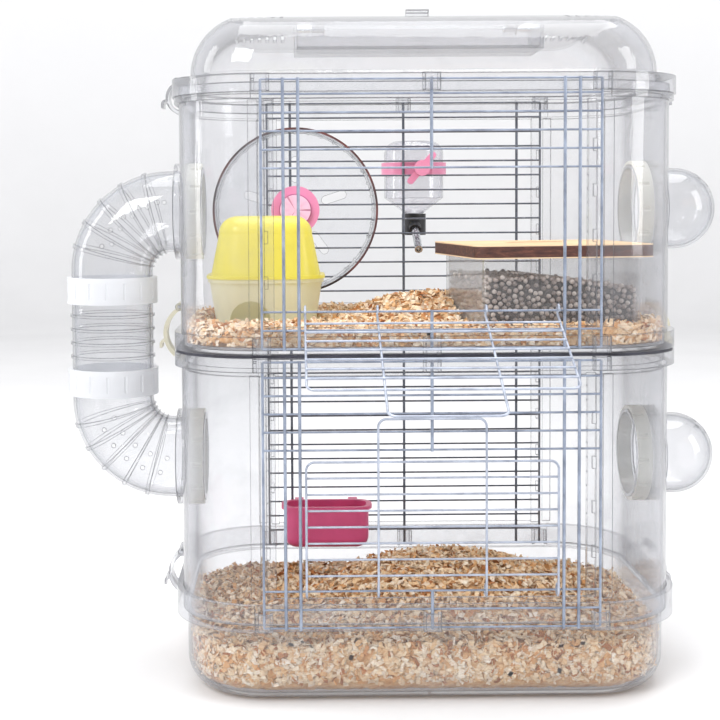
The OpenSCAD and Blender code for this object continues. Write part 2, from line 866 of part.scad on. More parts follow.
module straight_tube() {
  color(clear) translate([-tube_x, 0, 0]) difference() {
    union() {
      translate([0, 0, tube_foot]) cylinder(h = tube_top - tube_foot, r = tube_r);
      for (k = [-1.5:1:1.5]) translate([0, 0, (tube_top + tube_foot) / 2 + k * 11 - 1])
        cylinder(h = 2, r = tube_r + rib_h);
    }
    translate([0, 0, tube_foot - 1]) cylinder(h = tube_top - tube_foot + 2, r = tube_r - tube_wall);
  }
}

// Screw ring over the joint between an elbow and the straight tube
module tube_ring(z) {
  grips = 16;
  color(white) translate([-tube_x, 0, z - ring_h / 2]) difference() {
    cylinder(h = ring_h, r = tube_r + 3.6);
    translate([0, 0, -1]) cylinder(h = ring_h + 2, r = tube_r + 0.3);
    for (k = [0:grips - 1]) rotate(k * 360 / grips) translate([tube_r + 4.4, 0, 4])
      cylinder(h = ring_h - 8, r = 1.4);
  }
}

module upper_tube_ring() { tube_ring(tube_top); }
module lower_tube_ring() { tube_ring(tube_foot); }

// Section of a dome from its axis outwards, standing on the wall's face
module dome_section() {
  translate([tube_r - tube_wall, -dome_in]) square([tube_wall, dome_in + dome_l]);
  translate([tube_r - 0.5, collar_out + gap]) square([2.5, 2]);
  translate([0, dome_l]) intersection() {
    difference() {
      circle(tube_r);
      circle(tube_r - tube_wall);
    }
    square(tube_r);
  }
}

module dome(z) {
  color(clear) translate([hw, 0, z]) rotate([0, 90, 0]) difference() {
    rotate_extrude() dome_section();
    for (row = [1, 2], k = [-2:2])
      translate([0, 0, dome_l]) rotate([0, 0, k * 16 + 180]) rotate([0, 25 + 17 * row, 0])
        translate([0, 0, tube_r - 8]) cylinder(h = 12, r = 1.6);
  }
}

module upper_dome() { dome(up_port_z); }
module lower_dome() { dome(low_port_z); }

// ---------- wheel ----------

module wheel_drum() {
  shell = 1.8;
  treads = 36;
  color(clear) translate([wheel_x, wheel_back, wheel_z]) rotate([90, 0, 0]) difference() {
    union() {
      difference() {
        cylinder(h = wheel_w, r = wheel_r);
        translate([0, 0, shell]) cylinder(h = wheel_w, r = wheel_r - shell);
      }
      translate([0, 0, wheel_w - 2.5]) difference() {
        cylinder(h = 2.5, r = wheel_r + 0.8);
        translate([0, 0, -1]) cylinder(h = 5, r = wheel_r - 3);
      }
      cylinder(h = 5, r = hub_r - 3);
      for (k = [0:treads - 1]) rotate(k * 360 / treads) translate([wheel_r - shell - 0.8, -0.8, 1])
        cube([1.2, 1.6, wheel_w - 3]);
    }
    translate([0, 0, -1]) cylinder(h = 10, r = axle_r + run);
    for (k = [0:4]) rotate(k * 72 + 90) {
      translate([hub_r + 7, 0, -1]) cylinder(h = 4, r = 3.5);
      translate([hub_r + 22, 0, -1]) cylinder(h = 4, r = 3.5);
      translate([hub_r + 7, -3.5, -1]) cube([15, 7, 4]);
    }
  }
}

module wheel_hub() {
  color(pink) translate([wheel_x, wheel_back - 5, wheel_z]) rotate([90, 0, 0]) difference() {
    union() {
      cylinder(h = 6, r = hub_r);
      cylinder(h = 10, r = 13.5);
    }
    translate([0, 0, -1]) cylinder(h = 7, r = axle_r + run);
    for (k = [0:9]) rotate(k * 36) translate([5, -0.4, 9.4]) cube([7, 0.8, 2]);
  }
}

module wheel_axle() {
  color([0.7, 0.72, 0.75]) along_y(wheel_x, wheel_back - 9, grille_y - wire_d / 2 - 1, wheel_z, axle_r);
}

// Boss and back plate that hold the axle to the wires
module wheel_mount() {
  plate_y = grille_y - wire_d / 2 - 0.2;
  color(white) difference() {
    union() {
      along_y(wheel_x, wheel_back + 1.5, plate_y, wheel_z, 11);
      span([wheel_x - 15, plate_y - 3, wheel_z - 17], [wheel_x + 15, plate_y, wheel_z + 17]);
    }
    along_y(wheel_x, wheel_back, grille_y - wire_d / 2 - 1, wheel_z, axle_r);
  }
}

// ---------- hideout ----------

module hideout_base() {
  w = hide_w - 2;
  d = hide_d - 2;
  r = hide_r - 1;
  z0 = deck_z;
  z1 = deck_z + hide_base_h;
  z2 = z1 + 1;
  color(cream) translate([hide_x, hide_y, 0]) difference() {
    union() {
      sweep_round(w, d, r, z0, z1) cup_profile(r, hide_lean, z0, z1);
      translate([0, 0, z1 - 3]) linear_extrude(3) plate(hide_w, hide_d, hide_r);
    }
    sweep_round(w, d, r, z0 + hide_wall, z2) cup_profile(r - hide_wall, hide_lean, z0 + hide_wall, z2);
    translate([-12, 0, z0 + 12]) rotate([90, 0, 0]) cylinder(h = hide_d, r = 16);
    span([-28, -hide_d, z0 + 6], [4, 0, z0 + 12]);
  }
}

module hideout_roof() {
  z0 = deck_z + hide_base_h + 0.05;
  z1 = z0 + hide_roof_h;
  w = hide_w - 4;
  d = hide_d - 4;
  r = hide_r - 2;
  f = 14;
  color([0.95, 0.88, 0.25]) translate([hide_x, hide_y, 0]) difference() {
    union() {
      translate([0, 0, z0]) linear_extrude(2.4) plate(hide_w + 2, hide_d + 2, hide_r + 1);
      sweep_round(w, d, r, z0, z1) dome_profile(r, hide_lean, f, z0, z1);
    }
    sweep_round(w, d, r, z0 - 1, z1 - hide_wall)
      dome_profile(r - hide_wall, hide_lean, f - hide_wall, z0 - 1, z1 - hide_wall);
  }
}

// ---------- bottle ----------

module bottle_body() {
  round_r = 12;
  t = 1.4;
  color(clear) translate([bottle_x, bottle_y, bottle_z - shoulder_h]) difference() {
    bottle_form(bottle_r, bottle_neck_r, round_r, 0);
    bottle_form(bottle_r - t, bottle_neck_r - t, round_r - t, t);
  }
}

// Upside-down bottle: neck, cone, straight body and rounded end
module bottle_form(r, neck, round_r, t) {
  straight = bottle_h - shoulder_h - 12;
  translate([0, 0, -t]) cylinder(h = bottle_neck_h + 0.1 + t, r = neck);
  translate([0, 0, bottle_neck_h]) cylinder(h = shoulder_h + 0.1 - bottle_neck_h, r1 = neck, r2 = r);
  translate([0, 0, shoulder_h]) cylinder(h = straight, r = r);
  translate([0, 0, shoulder_h + straight]) rotate_extrude() {
    square([r - round_r, round_r]);
    translate([r - round_r, 0]) intersection() {
      circle(round_r);
      square(round_r);
    }
  }
}

module bottle_cap() {
  top = bottle_z - shoulder_h + bottle_neck_h - gap;
  color([0.12, 0.12, 0.13]) difference() {
    union() {
      translate([bottle_x, bottle_y, cap_z]) cylinder(h = top - cap_z, r = cap_r);
      spout_frame() translate([0, 0, 20]) cylinder(h = spout_back - 20, r = spout_r + 2);
    }
    translate([bottle_x, bottle_y, bottle_z - shoulder_h - 0.02]) cylinder(h = 20, r = bottle_neck_r + run);
    spout_frame() translate([0, 0, -1]) cylinder(h = spout_back - spout_end + 1, r = spout_r);
  }
}

// Frame whose +Z runs outwards along the spout from the point where it crosses the wires
spout_back = (bottle_y - grille_y) / cos(spout_tilt);
module spout_frame() {
  translate([bottle_x, grille_y, spout_cross]) rotate([-90 + spout_tilt, 0, 0]) children();
}

module bottle_nozzle() {
  color([0.78, 0.8, 0.82]) spout_frame() difference() {
    translate([0, 0, -spout_in]) cylinder(h = spout_in + spout_back - spout_end, r = spout_r);
    translate([0, 0, -spout_in + 1]) cylinder(h = spout_in + spout_back, r = spout_r - 0.7);
    translate([0, 0, -spout_in - 1]) cylinder(h = 5, r = 2);
  }
}

module nozzle_ball() {
  color([0.8, 0.8, 0.82]) spout_frame() translate([0, 0, -spout_in + 2.6]) sphere(2.5);
}

module bottle_bracket() {
  inner = bottle_r + 0.1;
  outer = inner + bracket_t;
  face = post_y + post_d / 2 + 0.4;
  color(pink) difference() {
    union() {
      translate([bottle_x, bottle_y, toggle_z - band_h / 2]) cylinder(h = band_h, r = outer);
      span([bottle_x - 14, face, toggle_z - band_h / 2],
           [bottle_x + 14, bottle_y - bottle_r + 4, toggle_z + band_h / 2]);
      along_y(bottle_x + 4, grille_y - 6, face + 2, toggle_z, 2.5);
    }
    translate([bottle_x, bottle_y, toggle_z - band_h]) cylinder(h = 2 * band_h, r = inner);
  }
}

// Turn bar inside the wires, with its knob
module bottle_toggle() {
  y1 = grille_y - wire_d / 2 - 0.4;
  color(pink) translate([bottle_x + 4, y1, toggle_z]) rotate([90, 0, 0]) difference() {
    union() {
      rotate(49) {
        translate([-15, -3, 0]) cube([30, 6, 3.5]);
        for (s = [-1, 1]) translate([15 * s, 0, 0]) cylinder(h = 3.5, r = 3);
      }
      cylinder(h = 9, r = 7);
    }
    translate([0, 0, -1]) cylinder(h = 6.2, r = 2.5 + run);
  }
}

// ---------- dish and bath ----------

module food_dish() {
  y1 = hd - wall - gap;
  t = 2;
  f = 9;
  color(pink) union() {
    translate([dish_x, y1 - dish_d / 2, 0]) difference() {
      union() {
        sweep_round(dish_w - 6, dish_d - 4, dish_r, dish_z, dish_z + dish_h)
          bowl_profile(dish_r, f, dish_z, dish_z + dish_h);
        translate([0, 0, dish_z + dish_h - 3]) linear_extrude(3) plate(dish_w, dish_d, dish_r + 2);
      }
      sweep_round(dish_w - 6, dish_d - 4, dish_r, dish_z + t, dish_z + dish_h + 1)
        bowl_profile(dish_r - t, f - t, dish_z + t, dish_z + dish_h + 1);
    }
    for (s = [-1, 1]) {
      span([dish_x + s * 24 - 4, y1 - 2.2, dish_z + dish_h - 6],
           [dish_x + s * 24 + 4, y1, hook_z + wire_d / 2 + 2.4]);
      span([dish_x + s * 24 - 4, y1 - 2.2, hook_z + wire_d / 2 + 0.4],
           [dish_x + s * 24 + 4, grille_y + 3, hook_z + wire_d / 2 + 2.4]);
      span([dish_x + s * 24 - 4, grille_y + 1.4, hook_z - 2.5],
           [dish_x + s * 24 + 4, grille_y + 3, hook_z + wire_d / 2 + 2.4]);
    }
  }
}

module bath_tub() {
  color(clear) translate([0, 0, deck_z]) difference() {
    linear_extrude(bath_h) bath_plan(0);
    translate([0, 0, bath_wall]) linear_extrude(bath_h) bath_plan(-bath_wall);
  }
}

module bath_pellets() {
  color([0.5, 0.47, 0.46]) difference() {
    translate([0, 0, deck_z + bath_wall + 0.1]) linear_extrude(bath_h - 16) bath_plan(-bath_wall - 0.5);
    translate([bath_x, bath_y, deck_z + 47]) rotate([0, 7.5, bath_turn])
      translate([-bath_w, -bath_d, 0]) cube([2 * bath_w, 2 * bath_d, 40]);
  }
}

module bath_board() {
  z0 = deck_z + bath_h + 0.05;
  color([0.72, 0.55, 0.36]) translate([bath_x, bath_y, z0]) rotate(bath_turn) difference() {
    linear_extrude(board_t) plate(bath_w + 2 * board_over_x, bath_d + 2 * board_over_y, bath_r);
    for (s = [-1, 1]) translate([s * 16, 12, -1]) cylinder(h = board_t + 2, r = 9);
    translate([-16, 3, -1]) cube([32, 18, board_t + 2]);
  }
}

base_tray();
tray_bedding();
lower_body();
upper_body();
upper_floor();
upper_bedding();
tier_gasket();
top_lid();
carry_handle();
handle_pins();
handle_tab();
upper_front_grille();
lower_front_grille();
upper_back_grille();
lower_back_grille();
upper_door();
lower_door();
front_clips();
back_clips();
latch_upper_left();
latch_upper_right();
latch_middle_left();
latch_middle_right();
latch_lower_left();
latch_lower_right();
latch_pins();
port_collars();
port_nut_upper_left();
port_nut_upper_right();
port_nut_lower_left();
port_nut_lower_right();
upper_elbow();
lower_elbow();
straight_tube();
upper_tube_ring();
lower_tube_ring();
upper_dome();
lower_dome();
wheel_drum();
wheel_hub();
wheel_axle();
wheel_mount();
hideout_base();
hideout_roof();
bottle_body();
bottle_cap();
bottle_nozzle();
nozzle_ball();
bottle_bracket();
bottle_toggle();
food_dish();
bath_tub();
bath_board();
bath_pellets();
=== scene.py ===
"""Looks of the two-storey hamster cage: plastics, wire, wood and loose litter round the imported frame."""

import math

import bmesh
import bpy
import numpy as np
from mathutils import Matrix, Vector, noise


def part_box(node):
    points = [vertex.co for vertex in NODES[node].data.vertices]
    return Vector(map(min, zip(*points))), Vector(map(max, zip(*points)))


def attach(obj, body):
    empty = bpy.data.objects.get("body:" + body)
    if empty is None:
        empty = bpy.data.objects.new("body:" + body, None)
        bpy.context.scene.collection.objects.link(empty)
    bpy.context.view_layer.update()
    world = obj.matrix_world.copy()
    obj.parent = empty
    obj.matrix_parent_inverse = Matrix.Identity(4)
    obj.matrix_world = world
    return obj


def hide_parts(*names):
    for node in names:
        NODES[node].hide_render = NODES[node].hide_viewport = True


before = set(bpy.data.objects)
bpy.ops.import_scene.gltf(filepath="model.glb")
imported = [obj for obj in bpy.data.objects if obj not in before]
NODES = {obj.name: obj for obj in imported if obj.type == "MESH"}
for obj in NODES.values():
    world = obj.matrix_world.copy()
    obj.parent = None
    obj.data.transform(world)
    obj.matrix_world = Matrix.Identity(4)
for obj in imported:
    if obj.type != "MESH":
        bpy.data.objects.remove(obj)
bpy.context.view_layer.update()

MM = 0.001

# Wood flakes, in millimetres: smallest and largest
FLAKE_LENGTH = (3.5, 10.5)
FLAKE_WIDTH = (2.2, 5.2)
FLAKE_CURL = (2.6, 8.0)             # radius of the curl
FLAKE_HALF_THICK = 0.14
FLAKE_DEPTH_TOP = (-2.8, 1.8)       # middle of a flake under the bedding's surface
FLAKE_DEPTH_SIDE = (0.9, 3.4)
FLAKE_RISE = 5.0                    # how far a flake on top may stand above the bedding's box

BALL_SIZE = 3.9                     # clay balls, in millimetres
WHEEL_LINE_WIDTH = 1.8              # dark line on the wheel's front edge, seen from the front
WHEEL_LINE_DEPTH = 1.3
HUB_DISC_R = 13.5                   # paler disc in the hub
BOARD_TURN = math.radians(9)        # how far the bath and its board are turned

# Studio, in metres: a round floor that curves up into a wall
STAGE_RADIUS = 4.2
STAGE_BEND = 1.2
STAGE_TOP = 4.5
STAGE_STEPS = 96
BEND_STEPS = 10

# Soft lights: name, place and width in metres, height in metres, power in watts
LIGHTS = (
    ("key", (-1.3, -1.9, 1.9), 1.3, 1.1, 54),
    ("side", (1.9, -0.9, 1.0), 0.7, 1.6, 20),
    ("left_strip", (-1.9, 0.1, 0.9), 0.4, 1.6, 10),
    ("top", (0.1, 0.2, 2.4), 1.8, 1.8, 42),
)
LIGHT_TARGET = (0, 0, 0.26)


# ---------- colours ----------

def paint(red, green, blue):
    """A screen colour (0 to 255) as the linear colour that a shader takes."""
    def linear(level):
        share = level / 255
        return share / 12.92 if share <= 0.04045 else ((share + 0.055) / 1.055) ** 2.4
    return (linear(red), linear(green), linear(blue), 1.0)


# Painted shade: dark grey for the edges and grazing sides of clear plastic, standing in for refraction and
# dark reflections.
PAINTED_EDGE_SHADE = paint(46, 49, 56)


# ---------- shader building ----------

class Graph:
    def __init__(self, name):
        self.material = bpy.data.materials.new(name)
        self.material.use_nodes = True
        self.tree = self.material.node_tree
        self.tree.nodes.clear()
        self.coordinates = self.add("ShaderNodeTexCoord")

    def add(self, kind, values=None, **settings):
        """A node with its settings, and its sockets set to values or linked to other sockets."""
        node = self.tree.nodes.new(kind)
        for name, value in settings.items():
            setattr(node, name, value)
        for name, value in (values or {}).items():
            if isinstance(value, bpy.types.NodeSocket):
                self.tree.links.new(value, node.inputs[name])
            else:
                node.inputs[name].default_value = value
        return node

    def place(self, stretch=(1, 1, 1), turn=(0, 0, 0)):
        """Object coordinates in metres, turned and then stretched."""
        values = {"Vector": self.coordinates.outputs["Object"], "Scale": stretch, "Rotation": turn}
        return self.add("ShaderNodeMapping", values).outputs["Vector"]

    def noise(self, scale, detail=3.0, rough=0.55, stretch=(1, 1, 1), turn=(0, 0, 0)):
        values = {"Vector": self.place(stretch, turn), "Scale": scale, "Detail": detail, "Roughness": rough}
        return self.add("ShaderNodeTexNoise", values).outputs["Fac"]

    def maths(self, operation, first, second=0.0, clamp=False):
        return self.add("ShaderNodeMath", {0: first, 1: second}, operation=operation,
                        use_clamp=clamp).outputs[0]

    def span(self, value, low, high, to_low, to_high):
        """value, from low..high to to_low..to_high, clamped."""
        values = {"Value": value, "From Min": low, "From Max": high, "To Min": to_low, "To Max": to_high}
        return self.add("ShaderNodeMapRange", values, clamp=True).outputs["Result"]

    def ramp(self, factor, stops):
        node = self.add("ShaderNodeValToRGB", {"Fac": factor})
        points = node.color_ramp.elements
        while len(points) < len(stops):
            points.new(1.0)
        for point, (place, colour) in zip(points, stops):
            point.position = place
            point.color = colour
        return node.outputs["Color"]

    def blend(self, factor, first, second, mode="MIX"):
        node = self.add("ShaderNodeMix", data_type="RGBA", blend_type=mode)
        sockets = {0: factor, 6: first, 7: second}
        for index, value in sockets.items():
            if isinstance(value, bpy.types.NodeSocket):
                self.tree.links.new(value, node.inputs[index])
            else:
                node.inputs[index].default_value = value
        return node.outputs[2]

    def bump(self, height, distance, strength=1.0):
        values = {"Height": height, "Distance": distance, "Strength": strength}
        return self.add("ShaderNodeBump", values).outputs["Normal"]

    def principled(self, **values):
        named = {name.replace("_", " "): value for name, value in values.items()}
        return self.add("ShaderNodeBsdfPrincipled", named).outputs["BSDF"]

    def mix(self, factor, first, second):
        return self.add("ShaderNodeMixShader", {0: factor, 1: first, 2: second}).outputs[0]

    def finish(self, surface):
        output = self.add("ShaderNodeOutputMaterial")
        self.tree.links.new(surface, output.inputs["Surface"])
        return self.material


def see_through(graph, tint, body, haze, edge, gloss=0.9, rough=0.05, bump=None, line=0.8):
    """Clear plastic: what is behind it, a painted grey shade that gathers at grazing angles and on edges in
    place of refraction and dark reflections, and a gloss.
    """
    facing = graph.add("ShaderNodeLayerWeight", {"Blend": 0.5}).outputs["Facing"]
    # Painted shade: the grey layer turns more opaque at grazing angles.
    painted_grazing_shade = graph.maths("MULTIPLY", graph.maths("POWER", facing, 3.0), edge)
    smears = graph.span(graph.noise(28, 4, 0.6), 0.5, 0.75, 0.0, 0.06)
    round_normal = graph.add("ShaderNodeBevel", {"Radius": 0.9 * MM}, samples=4).outputs["Normal"]
    flat_normal = graph.add("ShaderNodeNewGeometry").outputs["Normal"]
    along = graph.add("ShaderNodeVectorMath", {0: round_normal, 1: flat_normal},
                      operation="DOT_PRODUCT").outputs["Value"]
    # Painted shade: where the bevel's rounded normal turns away from the flat one, sharp edges get dark
    # grey lines.
    lines = graph.span(along, 0.985, 0.86, 0.0, line)
    veil = graph.maths("ADD", painted_grazing_shade, haze)
    alpha = graph.maths("ADD", veil, graph.maths("MAXIMUM", lines, smears), clamp=True)
    painted_edge_mask = graph.span(lines, 0.0, 0.5, 0.0, 1.0)
    # Painted shade: grazing sides and edges blend towards the dark edge grey.
    dark = graph.maths("MAXIMUM", graph.span(facing, 0.62, 0.93, 0.0, 1.0), painted_edge_mask)
    shade = {"Base_Color": graph.blend(dark, body, PAINTED_EDGE_SHADE), "Roughness": 0.3}
    clear = graph.add("ShaderNodeBsdfTransparent", {"Color": tint}).outputs[0]
    shine = {"Color": (1, 1, 1, 1), "Roughness": rough}
    if bump is not None:
        shade["Normal"] = bump
        shine["Normal"] = bump
    inner = graph.mix(alpha, clear, graph.principled(**shade))
    mirror = graph.add("ShaderNodeBsdfGlossy", shine).outputs[0]
    front = graph.maths("SUBTRACT", 1.0, graph.add("ShaderNodeNewGeometry").outputs["Backfacing"])
    fresnel = graph.add("ShaderNodeFresnel", {"IOR": 1.5}).outputs[0]
    return graph.mix(graph.maths("MULTIPLY", graph.maths("MULTIPLY", fresnel, front), gloss), inner, mirror)


def flow_bump(graph, strength):
    """Faint upright flow lines and sink marks of a moulding."""
    lines = graph.noise(26, 3, 0.6, stretch=(5, 5, 0.35))
    sinks = graph.noise(14, 2, 0.5)
    return graph.bump(graph.maths("ADD", lines, sinks), 0.8 * MM, strength)


# ---------- materials ----------

def clear_wall(name, tint):
    graph = Graph(name)
    surface = see_through(graph, tint, paint(186, 188, 194), 0.03, 0.85, bump=flow_bump(graph, 0.4))
    return graph.finish(surface)


def clear_thick():
    """Solid rims, clips and levers, which gather more light and grey than a wall: their thickness is shown
    by more painted grey shade over them and on their edges.
    """
    graph = Graph("clear_thick")
    surface = see_through(graph, (0.95, 0.952, 0.957, 1), paint(196, 198, 204), 0.07, 0.85,
                          rough=0.08, bump=flow_bump(graph, 0.5), line=0.9)
    return graph.finish(surface)


def clear_tube():
    graph = Graph("clear_tube")
    rings = graph.noise(40, 2, 0.5, stretch=(1, 1, 3))
    surface = see_through(graph, (0.96, 0.961, 0.966, 1), paint(180, 183, 189), 0.04, 0.95,
                          bump=graph.bump(rings, 0.6 * MM, 0.4), line=0.85)
    return graph.finish(surface)


def clear_bath():
    graph = Graph("clear_bath")
    surface = see_through(graph, (0.955, 0.955, 0.955, 1), paint(190, 191, 192), 0.04, 0.7,
                          bump=flow_bump(graph, 0.3), line=0.6)
    return graph.finish(surface)


def clear_bottle():
    graph = Graph("clear_bottle")
    surface = see_through(graph, (0.96, 0.96, 0.968, 1), paint(210, 212, 220), 0.05, 0.85, gloss=1.0,
                          bump=flow_bump(graph, 0.6), line=0.5)
    return graph.finish(surface)


def distance_from_axis(graph, node):
    """How far a point is from the front-to-back line through a node's middle."""
    low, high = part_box(node)
    middle = (low + high) / 2
    parts = graph.add("ShaderNodeSeparateXYZ", {"Vector": graph.place()}).outputs
    across = graph.maths("SUBTRACT", parts["X"], middle.x)
    upward = graph.maths("SUBTRACT", parts["Z"], middle.z)
    arm = graph.add("ShaderNodeCombineXYZ", {"X": across, "Y": upward}).outputs[0]
    radius = graph.add("ShaderNodeVectorMath", {0: arm}, operation="LENGTH").outputs["Value"]
    return radius, across, upward, parts["Y"]


def wheel_plastic():
    """Clear drum with a dark maroon line round its front edge."""
    graph = Graph("wheel_plastic")
    low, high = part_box("wheel_drum")
    reach = (high.x - low.x) / 2
    clear = see_through(graph, (0.965, 0.968, 0.976, 1), paint(178, 184, 190), 0.03, 0.5,
                        bump=flow_bump(graph, 0.3), line=0.75)
    radius, _, _, depth = distance_from_axis(graph, "wheel_drum")
    inner_edge = reach - WHEEL_LINE_WIDTH * MM
    back_edge = low.y + WHEEL_LINE_DEPTH * MM
    soft = 0.1 * MM
    outer = graph.span(radius, inner_edge - soft, inner_edge + soft, 0.0, 1.0)
    line = graph.maths("MULTIPLY", outer, graph.span(depth, back_edge - soft, back_edge + soft, 1.0, 0.0))
    shade = graph.ramp(graph.noise(26, 2), [(0.42, paint(58, 46, 48)), (0.62, paint(112, 62, 60))])
    dark = graph.principled(Base_Color=shade, Roughness=0.3)
    return graph.finish(graph.mix(line, clear, dark))


def hub_pink():
    """Pink hub with a paler disc in its middle and three fine grooves across the disc, darkened as painted
    shade.
    """
    graph = Graph("hub_pink")
    radius, across, upward, _ = distance_from_axis(graph, "wheel_hub")
    disc_r = HUB_DISC_R * MM
    disc = graph.span(radius, disc_r - 0.3 * MM, disc_r + 0.3 * MM, 1.0, 0.0)
    mottle = graph.span(graph.noise(60, 4, 0.6), 0.35, 0.65, 0.0, 0.3)
    ring = graph.blend(mottle, paint(238, 148, 190), paint(222, 122, 168))
    pale = graph.blend(mottle, paint(252, 204, 232), paint(246, 186, 220))
    angle = graph.maths("MULTIPLY", graph.maths("ARCTAN2", upward, across), 3.0)
    # Painted shade: the three grooves are drawn darker as well as bumped in.
    painted_groove_shade = graph.span(graph.maths("COSINE", angle), 0.965, 0.99, 0.0, 0.7)
    off_edge = graph.maths("ABSOLUTE", graph.maths("SUBTRACT", radius, disc_r))
    edge = graph.span(off_edge, 0.2 * MM, 0.6 * MM, 0.8, 0.0)
    marks = graph.maths("MAXIMUM", graph.maths("MULTIPLY", painted_groove_shade, disc), edge)
    # The darker pink: painted shade in the grooves, and the line round the disc's edge.
    colour = graph.blend(marks, graph.blend(disc, ring, pale), paint(176, 84, 128))
    height = graph.maths("SUBTRACT", 1.0, marks)
    surface = graph.principled(Base_Color=colour, Roughness=0.34, Normal=graph.bump(height, 0.4 * MM, 0.5),
                               Coat_Weight=0.3, Coat_Roughness=0.2)
    return graph.finish(surface)


def moulded(name, base, rough=0.35, grain=0.12, glow=0.0, coat=0.25):
    """Opaque or milky moulded plastic with a fine grain, faint mottling and some light through it."""
    graph = Graph(name)
    mottle = graph.noise(45, 4, 0.6)
    dark = tuple(0.9 * level for level in base[:3]) + (1,)
    light = tuple(min(1.0, 1.05 * level) for level in base[:3]) + (1,)
    shade = graph.ramp(mottle, [(0.35, dark), (0.68, light)])
    fine = graph.noise(1400, 2, 0.5)
    soft = graph.span(graph.noise(160, 3), 0.3, 0.7, rough * 0.85, rough * 1.2)
    normal = graph.bump(fine, 0.12 * MM, grain)
    surface = graph.principled(Base_Color=shade, Roughness=soft, Normal=normal, Coat_Weight=coat,
                               Coat_Roughness=0.2)
    if glow:
        through = graph.add("ShaderNodeBsdfTranslucent", {"Color": light, "Normal": normal}).outputs[0]
        surface = graph.mix(glow, surface, through)
    return graph.finish(surface)


def milky(name, base, clear_share, rough=0.25):
    """Tinted plastic that lets some of what is behind it show."""
    graph = Graph(name)
    mottle = graph.noise(38, 4, 0.6)
    dark = tuple(0.88 * level for level in base[:3]) + (1,)
    shade = graph.ramp(mottle, [(0.3, dark), (0.7, base)])
    normal = graph.bump(graph.noise(700, 3), 0.15 * MM, 0.3)
    solid = graph.principled(Base_Color=shade, Roughness=rough, Normal=normal, Coat_Weight=0.4,
                             Coat_Roughness=0.12)
    through = graph.add("ShaderNodeBsdfTranslucent", {"Color": base, "Normal": normal}).outputs[0]
    body = graph.mix(0.45, solid, through)
    clear = graph.add("ShaderNodeBsdfTransparent", {"Color": base}).outputs[0]
    facing = graph.add("ShaderNodeLayerWeight", {"Blend": 0.4}).outputs["Facing"]
    share = graph.span(facing, 0.0, 0.8, clear_share, 0.0)
    return graph.finish(graph.mix(share, body, clear))


def wire_paint(name, dark, light):
    """Pale blue-grey powder coat with tiny pits and slightly worn high spots."""
    graph = Graph(name)
    tone = graph.noise(70, 4, 0.6)
    shade = graph.ramp(tone, [(0.3, dark), (0.7, light)])
    pits = graph.noise(2200, 2, 0.6)
    worn = graph.span(graph.noise(420, 4, 0.7), 0.62, 0.72, 0.0, 0.6)
    colour = graph.blend(worn, shade, paint(186, 194, 208))
    rough = graph.span(pits, 0.3, 0.7, 0.24, 0.4)
    return graph.finish(graph.principled(Base_Color=colour, Metallic=0.35, Roughness=rough,
                                         Normal=graph.bump(pits, 0.1 * MM, 0.3), Coat_Weight=0.5,
                                         Coat_Roughness=0.12))


def bright_steel():
    graph = Graph("bright_steel")
    brushed = graph.noise(900, 3, 0.6, stretch=(1, 0.1, 1))
    shade = graph.ramp(brushed, [(0.3, paint(150, 152, 156)), (0.7, paint(206, 208, 212))])
    rough = graph.span(brushed, 0.3, 0.7, 0.14, 0.34)
    return graph.finish(graph.principled(Base_Color=shade, Metallic=1.0, Roughness=rough,
                                         Normal=graph.bump(brushed, 0.05 * MM, 0.3)))


def seal_rubber():
    graph = Graph("seal_rubber")
    bloom = graph.noise(60, 4, 0.65)
    shade = graph.ramp(bloom, [(0.35, paint(24, 24, 34)), (0.75, paint(52, 52, 66))])
    rough = graph.span(bloom, 0.3, 0.7, 0.45, 0.65)
    return graph.finish(graph.principled(Base_Color=shade, Roughness=rough,
                                         Normal=graph.bump(graph.noise(900), 0.1 * MM, 0.4)))


def black_plastic():
    graph = Graph("black_plastic")
    tone = graph.noise(120, 3)
    shade = graph.ramp(tone, [(0.3, paint(18, 18, 20)), (0.7, paint(40, 40, 44))])
    rough = graph.span(tone, 0.3, 0.7, 0.3, 0.5)
    return graph.finish(graph.principled(Base_Color=shade, Roughness=rough,
                                         Normal=graph.bump(graph.noise(1200), 0.1 * MM, 0.3)))


def shaving_wood():
    """Thin wood curls: each flake has its own tone, with grain along it."""
    graph = Graph("shaving_wood")
    own = graph.add("ShaderNodeAttribute", attribute_name="tone", attribute_type="GEOMETRY").outputs["Fac"]
    shade = graph.ramp(own, [(0.0, paint(120, 70, 36)), (0.1, paint(184, 118, 68)),
                             (0.22, paint(222, 172, 118)), (0.45, paint(242, 214, 172)),
                             (0.75, paint(250, 236, 208)), (1.0, paint(255, 250, 236))])
    grain = graph.noise(900, 4, 0.7, stretch=(0.25, 1, 1))
    colour = graph.blend(graph.span(grain, 0.36, 0.62, 0.55, 0.0), shade, paint(198, 138, 86))
    normal = graph.bump(grain, 0.15 * MM, 0.5)
    face = graph.principled(Base_Color=colour, Roughness=0.72, Normal=normal)
    through = graph.add("ShaderNodeBsdfTranslucent", {"Color": shade}).outputs[0]
    return graph.finish(graph.mix(0.12, face, through))


def ball_clay():
    """Small dry clay balls, each with its own grey-brown; the near-black end of the tones is painted shade
    for the bed between them.
    """
    graph = Graph("ball_clay")
    own = graph.add("ShaderNodeAttribute", attribute_name="tone", attribute_type="GEOMETRY").outputs["Fac"]
    # Tones under 0.3 are used only by the bed under the balls: painted shade in the gaps.
    shade = graph.ramp(own, [(0.0, paint(42, 37, 36)), (0.3, paint(118, 106, 102)),
                             (0.65, paint(168, 156, 150)), (1.0, paint(206, 196, 190))])
    specks = graph.noise(2600, 3, 0.6)
    colour = graph.blend(graph.span(specks, 0.5, 0.7, 0.0, 0.35), shade, paint(214, 206, 202))
    return graph.finish(graph.principled(Base_Color=colour, Roughness=0.42,
                                         Normal=graph.bump(specks, 0.1 * MM, 0.4)))


